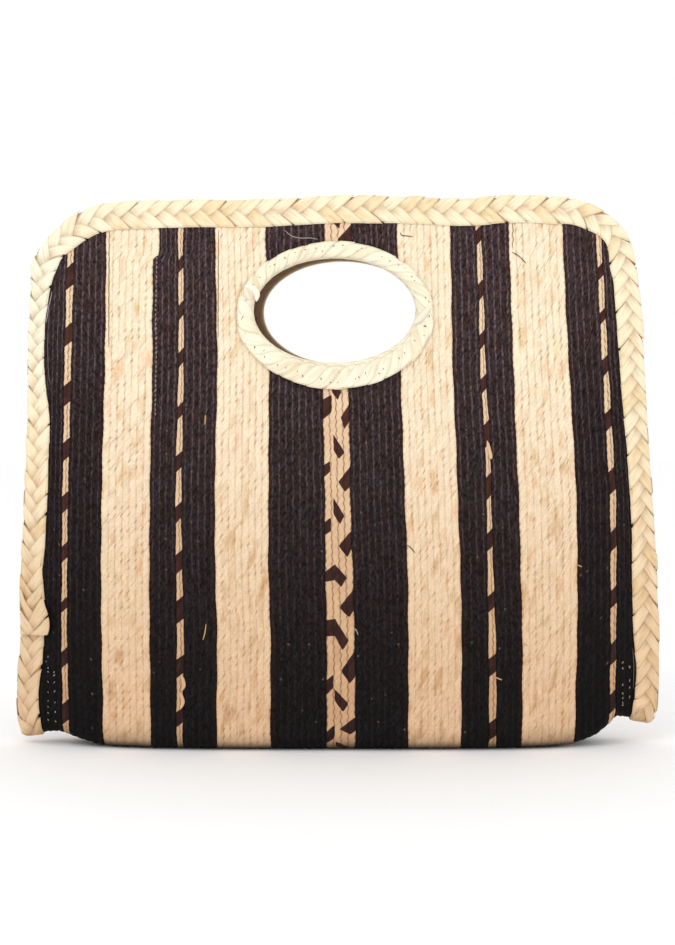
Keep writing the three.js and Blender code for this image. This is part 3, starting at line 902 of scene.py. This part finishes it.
def strandShape(flat, sheet, style, centre, luckOf, lift):
    leaf, local = whichSpot(flat)
    a = (local + 1) / 2  # along the strand, and b across it
    b = flat[:, 1]
    side = np.where(leaf % 2 == 0, -1, 1)
    outside = side < 0
    toneLuck, liftLuck, placeLuck, endLuck = luckOf[leaf].T
    pitch = style.pitch
    t0 = style.first + pitch * (leaf // 2 + 0.5 * (leaf % 2))
    t0 = t0 + style.stray * pitch * (placeLuck - 0.5)
    mid = centre(t0)
    wide = sheet.wide(np.clip(t0, 0, sheet.length))
    reach = np.where(outside, mid, 1 - mid) * wide  # from the middle line to the edge
    reach = reach + style.fray * liftLuck * (1 - ease(14, 24, t0)) * (side > 0)  # loose first ends
    reach = reach + style.ragged * (endLuck - 0.35) * np.where(outside, 1, 0.4)
    lean = style.lean * (0.88 + 0.24 * toneLuck)
    half = pitch * style.cover * (1 - 0.06 * placeLuck)
    first = np.clip((0.3 - t0 - b * half) / lean, -2.6, reach + 0.2)  # cut off straight
    d = first + a * (reach + 0.25 - first)
    edge = np.clip((d - (reach - style.edge)) / (style.edge + 0.2), 0, 1.2)
    over = ease(-0.25, 0.25, b)
    end = -2.3 * over + 1.6 * (1 - over)  # where the strand dips under the next one
    tuck = ease(end - 1.0, end + 1.2, d)
    off = style.height + style.rise * (1.9 * tuck - 0.9) + style.crown * (1 - b * b) * tuck
    drop = style.drop + style.wrap * outside  # the outer ends bend round the edge of the cloth
    off = off + style.uneven * (liftLuck - 0.5) - drop * edge ** 2 + style.curl * b * tuck
    bent = np.minimum(edge, 1) ** 2 * outside * (style.wrap > 0) * ease(3, 8, t0 + lean * d)
    off = off - np.where(isUnder(flat), style.leaf, 0) + lift(t0 + lean * d) * (1 - bent)
    crease = style.crease * liftLuck * ease(reach - 6, reach, d) * outside
    t = t0 + lean * d + b * half * (1 - style.notch * edge - crease)
    uv = np.stack([d / grainLength + 3 * toneLuck, (b + 1) / 2], 1)
    share = mid + side * d / wide
    low, high = style.tones
    shaded = style.shadedFrom  # from here on the straw lies in the bag's shade
    shade = -0.5 - 0.42 * ease(shaded, shaded + shadeSpan, share)
    tone = np.where(share > shaded, shade, low + (high - low) * toneLuck)
    # the last value, kept as tuck, is painted shade near where the strand dips under the next
    return np.clip(t, 0.2, sheet.length - 0.2), share, off, uv, tone, 1 - ease(end, end + 3.6, d)


def plaited(name, sheet, style, material, centre, lift, backing):
    count = int((sheet.length + style.spare) / style.pitch)
    luckOf = luck.random((count * 2, 4))
    bm = bmesh.new()
    layStrands(bm, count)
    layBacking(bm, style.along, style.across)
    kept = {}

    def shape(flat):
        onBacking = flat[:, 0] < backingAt / 2
        leaves = ~onBacking
        points, uv = np.zeros_like(flat), np.zeros((len(flat), 2))
        strand, tuck = np.full(len(flat), backing.tone), np.zeros(len(flat))
        t, share, off, uv[leaves], strand[leaves], tuck[leaves] = strandShape(
            flat[leaves], sheet, style, centre, luckOf, lift)
        points[leaves] = sheet.at(t, share, off)
        f = flat[onBacking]
        t = 0.6 + (f[:, 0] - backingAt + 1) / 2 * (sheet.length * backing.length - 0.6)
        share = 0.5 + backing.half * f[:, 1]
        bend = backing.bend * np.clip((0.16 - share) / 0.12, 0, 1) ** 2
        off = np.where(isUnder(f), backing.low, backing.high) - bend + lift(t)
        points[onBacking] = sheet.at(t, share, off)
        uv[onBacking] = np.stack([t / grainLength, share], 1)
        strand[onBacking] -= 0.4 * ease(style.shadedFrom, style.shadedFrom + shadeSpan, share)
        kept.update(uv=uv, strand=strand, tuck=tuck)
        return points

    obj = addObject(bm, name + "_plait", material, shape)
    addUv(obj, "leaf", kept["uv"][cornersOf(obj)])
    addValue(obj, "strand", kept["strand"])
    addValue(obj, "tuck", kept["tuck"])
    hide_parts(name)


def edgeCentre(t):
    return np.full(len(t), 0.5)


def edgeLift(t):  # the braid's beginning lies over its end
    return braid.raised * (1 - ease(12, 30, t))


edgeSheet = Sheet(braidSheet())
edgeBacking = Settings(low=0.35, high=1.35, bend=2.3, half=0.46, length=1.0, tone=-0.66)
plaited("edge_braid", edgeSheet, braid, braidStraw, edgeCentre, edgeLift, edgeBacking)
print("edge braid laid,", round(edgeSheet.length), "mm")

# Folded braid round each hand hole
ring = Settings(
    pitch=7.6, lean=1.15, height=0.1, rise=0.04, crown=0.02, uneven=0.05, drop=0.3, wrap=0,
    curl=0.04, leaf=0.3, edge=1.2, notch=0.1, stray=0.34, cover=0.6, fray=0, ragged=0.9, crease=0,
    tones=(0.15, 0.95), shadedFrom=0.52, first=-16.0, spare=24, along=160, across=28,
    body=0.5, turn=372, stitchGap=5.6, stitchShare=0.13, faceWide=28)
ringBacking = Settings(low=-1.2, high=0.0, bend=0, half=0.49, length=360 / ring.turn, tone=-0.5)
ringBegins = {"front_handle_ring": (-1, 169), "back_handle_ring": (1, 262)}  # side, degrees round the hole
ringShare = [1, 0.72, 0.3, 0.09, 0, 0, 0.09, 0.3, 0.72, 1]  # over the edge, face to face
ringOff = [3.3, 3.9, 3.7, 2.7, 1.1, -1.1, -2.7, -3.7, -3.9, -3.3]


def ringLift(t):
    return 0.1 + 0.5 * ease(0, 5, t) * (1 - ease(6, 18, t))


def foldRing(name, side, begin):
    knots = np.linspace(0, 9, 28)
    shares = np.clip(smooth(knots, range(10), ringShare), 0, 1)
    offs = smooth(knots, range(10), ringOff)
    stations = []
    for angle in math.radians(begin) + side * np.linspace(0, math.radians(ring.turn), ring.along + 1):
        x, z = ringPoint(angle, shares, backShift if side > 0 else 0)
        y = side * (wallDepth(x, z) - cloth.thick / 2 + offs - ring.body)
        stations.append(np.stack([x, y, z], 1))
    sheet = Sheet(np.array(stations))
    if np.mean(sheet.normals[:, 3, 1]) * side < 0:
        sheet.normals *= -1

    def ringCentre(t):  # the middle line wanders over the face
        return 0.33 + 0.07 * np.sin(t / sheet.length * 2 * math.pi + 0.6) + 0.03 * np.sin(t / 31)

    plaited(name, sheet, ring, ringStraw, ringCentre, ringLift, ringBacking)

    # stitches through the outer part of the folded braid
    stitches = int(sheet.length * 360 / ring.turn / ring.stitchGap)
    jitter = luck.normal(size=(stitches, 4))

    def stitchShape(flat):
        k, local = whichSpot(flat)
        big = 0.17 + 0.1 * np.abs(jitter[k, 2])
        long = big * (1.2 + 0.7 * np.abs(jitter[k, 3]))
        turn = 0.9 + 0.5 * jitter[k, 1]  # each lies a little askew
        a, b = long * local, big * flat[:, 1]
        t = (k + 0.5) * ring.stitchGap + 1.7 * jitter[k, 0] + a * np.cos(turn) - b * np.sin(turn)
        across = (a * np.sin(turn) + b * np.cos(turn)) / ring.faceWide
        share = ring.stitchShare + 0.024 * jitter[k, 1] + across
        return sheet.at(t, share, 0.3 + 0.2 * flat[:, 2] + ringLift(t))

    obj = addObject(ballRow(stitches), name + "_stitches", threadFinish, stitchShape)


for ringName, (ringSide, ringBegin) in ringBegins.items():
    foldRing(ringName, ringSide, ringBegin)
print("hand hole rings folded")


def sewnSeam(x, swing, top, foot, count):
    return [(x + swing * (-1) ** k, z) for k, z in enumerate(np.linspace(top, foot, count))]


# Loose fibres, strand ends and painted highlights on the front: colour, width, height off the cloth, points
# along each
fibres = {
    "grey": ((176, 162, 160), 0.55, 0.3, [
        [(-32.4, 317.6), (-28.1, 314.2), (-22.9, 312.9), (-16.9, 312.9), (-12.1, 312)],
        [(10, 75.2), (11.6, 73.6), (12.4, 71)],
        # the third grey path is a painted highlight along black_band_1's left edge
        [(-180.4, 261), (-179.2, 266), (-178.6, 271), (-177.2, 276), (-176.4, 280.5)]]),
    # painted highlights: light lines where the black rows' edges beside the braids catch the light
    "edge_glint": ((112, 98, 96), 0.42, 0.3, [
        [(182.8, 60), (183.6, 48), (183.2, 35)],
        [(-179, 257), (-179.2, 250), (-179.1, 243), (-178.9, 236), (-178.4, 229), (-177.5, 223)]]),
    "brown": ((112, 74, 52), 0.55, 0.3, [
        [(38.6, 316.3), (39.4, 314.6), (42.4, 314.2), (46.3, 313.7)],
        [(107, 304.4), (111.3, 301.9), (115.6, 297.6)],
        [(42.3, 125.5), (44.7, 123.7), (47.1, 120.7)]]),
    "yellow_and_glint": ((206, 170, 110), 0.7, 0.3, [
        # the second path is a painted glint on black_band_4; the others are yellow fibres and bits
        [(-81.7, 67.9), (-80.5, 72.7), (-79.9, 77.6)], [(-80.8, 198.4), (-80.6, 204.5)],
        [(147.2, 112.7), (149.8, 111.4)], [(112.9, 65.8), (116, 63.9)], [(95.7, 45.3), (100, 43.5)]]),
    "ring_end": ((254, 247, 224), 4.2, 3.2, [
        [(-57, 283.2), (-52.6, 282.2), (-49.4, 278.8), (-49.4, 273.6)],
        [(46.6, 260), (51.4, 264.4), (56.6, 271)]]),
    "ring_foot": ((240, 212, 172), 1.7, 0.5, [
        [(-10.9, 222.4), (-5, 221.4), (0.5, 220.7), (6, 221.3)]]),
    "row_end": ((228, 188, 146), 2.2, 0.35, [
        [(-95.2, 46.8), (-94, 43.6), (-93.4, 40), (-95, 36.6)],
        [(-95.6, 36.2), (-94.6, 33), (-94, 29.8), (-95.6, 25.6)],
        [(91.2, 189), (92.2, 184.5), (93.4, 179.5), (93.4, 177.4)]]),
    "seam": ((158, 120, 88), 0.5, 0.3, [
        sewnSeam(-140.4, 0.12, 322, 246, 22), sewnSeam(-73, 0.12, 318, 252, 20),
        sewnSeam(107.6, 0.25, 324, 306, 7)]),
}


def layFibres(kind, colour, wide, raised, paths):
    bm = bmesh.new()
    for k, path in enumerate(paths):
        addGrid(bm, along=max(20, 4 * len(path)), across=2, spot=spotOf(k))
    thicken(bm, bm.faces[:])
    near = 0.02

    def shape(flat):
        points = np.zeros_like(flat)
        number, local = whichSpot(flat)
        for k, path in enumerate(paths):
            mine = number == k
            a = (local[mine] + 1) / 2
            b = flat[mine, 1]
            knots = np.linspace(0, 1, len(path))
            xs, zs = np.array(path, float).T
            x, z = smooth(a, knots, xs), smooth(a, knots, zs)
            dx = smooth(a + near, knots, xs) - smooth(a - near, knots, xs)
            dz = smooth(a + near, knots, zs) - smooth(a - near, knots, zs)
            away = np.abs(2 * a - 1)
            taper = 1 - 0.92 * away ** 3 if wide > 1 else 1 - 0.6 * away ** 4
            reach = 0.5 * wide * b * taper / np.maximum(np.hypot(dx, dz), 1e-6)
            x, z = x - dz * reach, z + dx * reach
            off = raised + np.where(isUnder(flat[mine]), -0.3, 0.1 * (1 - b ** 2))
            points[mine] = np.stack([x, -(wallDepth(x, z) + off), z], 1)
        return points

    obj = addObject(bm, "fibres_" + kind, makeMaterial("fibre_" + kind, plainLook, colour, 0.6), shape)


for fibreKind, fibreForm in fibres.items():
    layFibres(fibreKind, *fibreForm)

# Pale specks where the strand beneath shows between black rows: x, height, half width, half height
specks = [(-179, z, 0.45, 0.6) for z in (55, 48, 45.7, 39.5, 33, 27.7, 24, 20.2, 15.9)]
specks += [(-180.3, 52, 0.5, 0.5)]
specks += [(-175 + 0.03 * (45.7 - z), z, 0.5, 0.6) for z in (45.7, 43.8, 39.5, 33.9, 27, 21.2, 15.3)]
specks += [(176.2, z, 0.5, 0.7) for z in (51.6, 48, 37.8, 32.5, 29.6, 26.7, 25.2)]
specks += [(180.8, z, 0.5, 0.9) for z in (48.6, 40.2, 35.8, 30)]
specks += [(-111.1 + 0.25 * math.sin(z / 9), z, 0.45, 0.95) for z in np.arange(205, 301, 2.9)]
specks = np.array(specks)
specks[:, 2:] *= luck.uniform(0.7, 1.35, (len(specks), 2))
lopsided = luck.uniform(-0.5, 0.5, len(specks))


def speckShape(flat):
    k, local = whichSpot(flat)
    x = specks[k, 0] + specks[k, 2] * local + lopsided[k] * flat[:, 2]
    z = specks[k, 1] + specks[k, 3] * flat[:, 2]
    return np.stack([x, -(wallDepth(x, z) + 0.05) + 0.25 * flat[:, 1], z], 1)


speckFinish = makeMaterial("fibre_speck", plainLook, (146, 134, 122), 0.7)
obj = addObject(ballRow(len(specks)), "pale_specks", speckFinish, speckShape)
print("fibres and specks laid")

# Stage: pale floor, soft light, camera at the photograph's place
stage = Settings(
    floorSize=6.0, paper=(0.985, 0.995), world=1.0, key=5, fill=1,
    cameraAt=(0, -1.2, 0.2105), cameraTilt=88, focal=1929, pictureHigh=945, sensor=36)


def paperLook():
    speckle = noise(position(), 60.0, 3.0).span(0.2, 0.8)
    return speckle.tint(*[(grey, grey, grey, 1) for grey in stage.paper]), 0.8, 0.5


bm = bmesh.new()
addGrid(bm, along=1, across=1, size=stage.floorSize)
floorObj = addToScene("floor", meshOf(bm, "floor", makeMaterial("floor_paper", paperLook)))

world = bpy.data.worlds.new("studio")
scene.world = world
world.use_nodes = True
background = world.node_tree.nodes["Background"].inputs
background["Color"].default_value = (1, 1, 1, 1)
background["Strength"].default_value = stage.world


def addLight(name, at, aim, size, power):
    lamp = bpy.data.lights.new(name, "AREA")
    lamp.shape = "DISK"
    lamp.size = size
    lamp.energy = power
    obj = addToScene(name, lamp)
    obj.location = at
    ahead = np.array(aim, float) - np.array(at, float)
    level = math.hypot(ahead[0], ahead[1])
    obj.rotation_euler = (math.atan2(level, -ahead[2]), 0, math.atan2(-ahead[0], ahead[1]))


addLight("key", (-0.5, -1.3, 1.5), (0, 0, 0.22), 0.9, stage.key)
addLight("fill", (1.2, -1.2, 0.8), (0, 0, 0.17), 1.2, stage.fill)

camera = bpy.data.cameras.new("camera")
camera.sensor_fit = "AUTO"
camera.sensor_width = stage.sensor
camera.lens = stage.focal / stage.pictureHigh * stage.sensor
camera.clip_end = 50
cameraObj = addToScene("camera", camera)
cameraObj.location = stage.cameraAt
cameraObj.rotation_euler = (math.radians(stage.cameraTilt), 0, 0)
scene.camera = cameraObj
scene.view_settings.view_transform = "Standard"
print("stage set")
